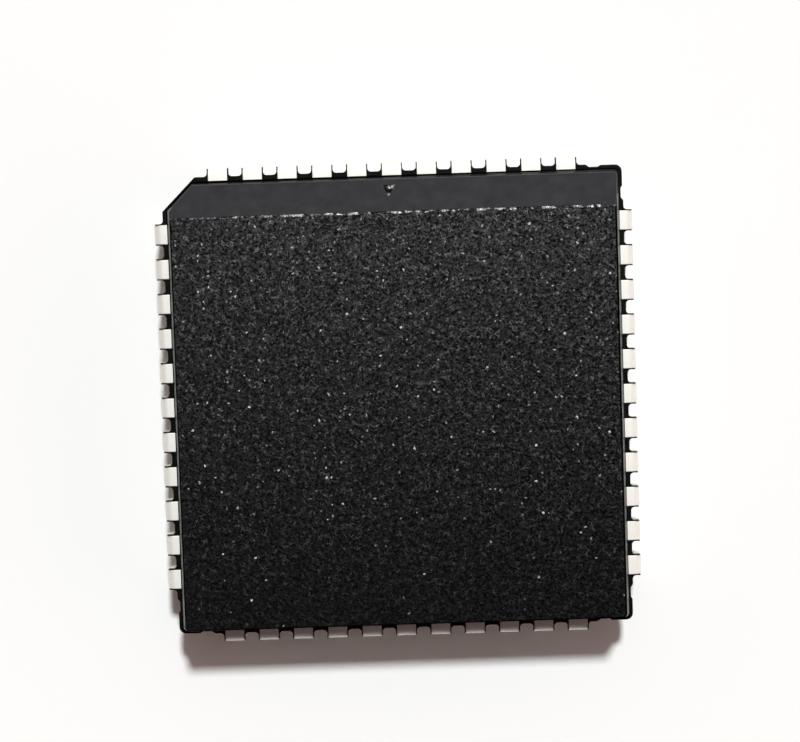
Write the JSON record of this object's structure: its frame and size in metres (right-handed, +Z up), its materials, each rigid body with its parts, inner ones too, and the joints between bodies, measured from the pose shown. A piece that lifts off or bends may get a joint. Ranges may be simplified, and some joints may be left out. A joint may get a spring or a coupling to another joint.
{
  "type": "plastic leaded chip carrier",
  "caption": "square black moulded chip carrier with J-shaped tinned leads folded under all four sides, one wide side chamfer and a cut index corner",
  "frame": {"origin": "centre of the bounding box at the seating plane, on the undersides of the lead feet", "axes": "+Z up out of the marked top, +Y towards the side with the wide chamfer and lead 1, +X to the right seen from above; the cut index corner is at -X +Y"},
  "size_m": [0.0176, 0.0176, 0.0044],
  "materials": {
    "mould_resin": "fine matte spark-eroded mould texture, satin on the side chamfer",
    "tin_plate": "bright tin plate",
    "copper_alloy": "bare copper alloy, silver flashed",
    "silver_epoxy": "silver-filled adhesive",
    "silicon": "polished silicon"
  },
  "bodies": {
    "root": {"moulded_body": "mould_resin", "lead_01": "tin_plate", "lead_02": "tin_plate", "lead_03": "tin_plate", "lead_04": "tin_plate", "lead_05": "tin_plate", "lead_06": "tin_plate", "lead_07": "tin_plate", "lead_08": "tin_plate", "lead_09": "tin_plate", "lead_10": "tin_plate", "lead_11": "tin_plate", "lead_12": "tin_plate", "lead_13": "tin_plate", "lead_14": "tin_plate", "lead_15": "tin_plate", "lead_16": "tin_plate", "lead_17": "tin_plate", "lead_18": "tin_plate", "lead_19": "tin_plate", "lead_20": "tin_plate", "lead_21": "tin_plate", "lead_22": "tin_plate", "lead_23": "tin_plate", "lead_24": "tin_plate", "lead_25": "tin_plate", "lead_26": "tin_plate", "lead_27": "tin_plate", "lead_28": "tin_plate", "lead_29": "tin_plate", "lead_30": "tin_plate", "lead_31": "tin_plate", "lead_32": "tin_plate", "lead_33": "tin_plate", "lead_34": "tin_plate", "lead_35": "tin_plate", "lead_36": "tin_plate", "lead_37": "tin_plate", "lead_38": "tin_plate", "lead_39": "tin_plate", "lead_40": "tin_plate", "lead_41": "tin_plate", "lead_42": "tin_plate", "lead_43": "tin_plate", "lead_44": "tin_plate", "die_paddle": "copper_alloy", "die_attach": "silver_epoxy", "silicon_die": "silicon"}
  },
  "joints": []
}
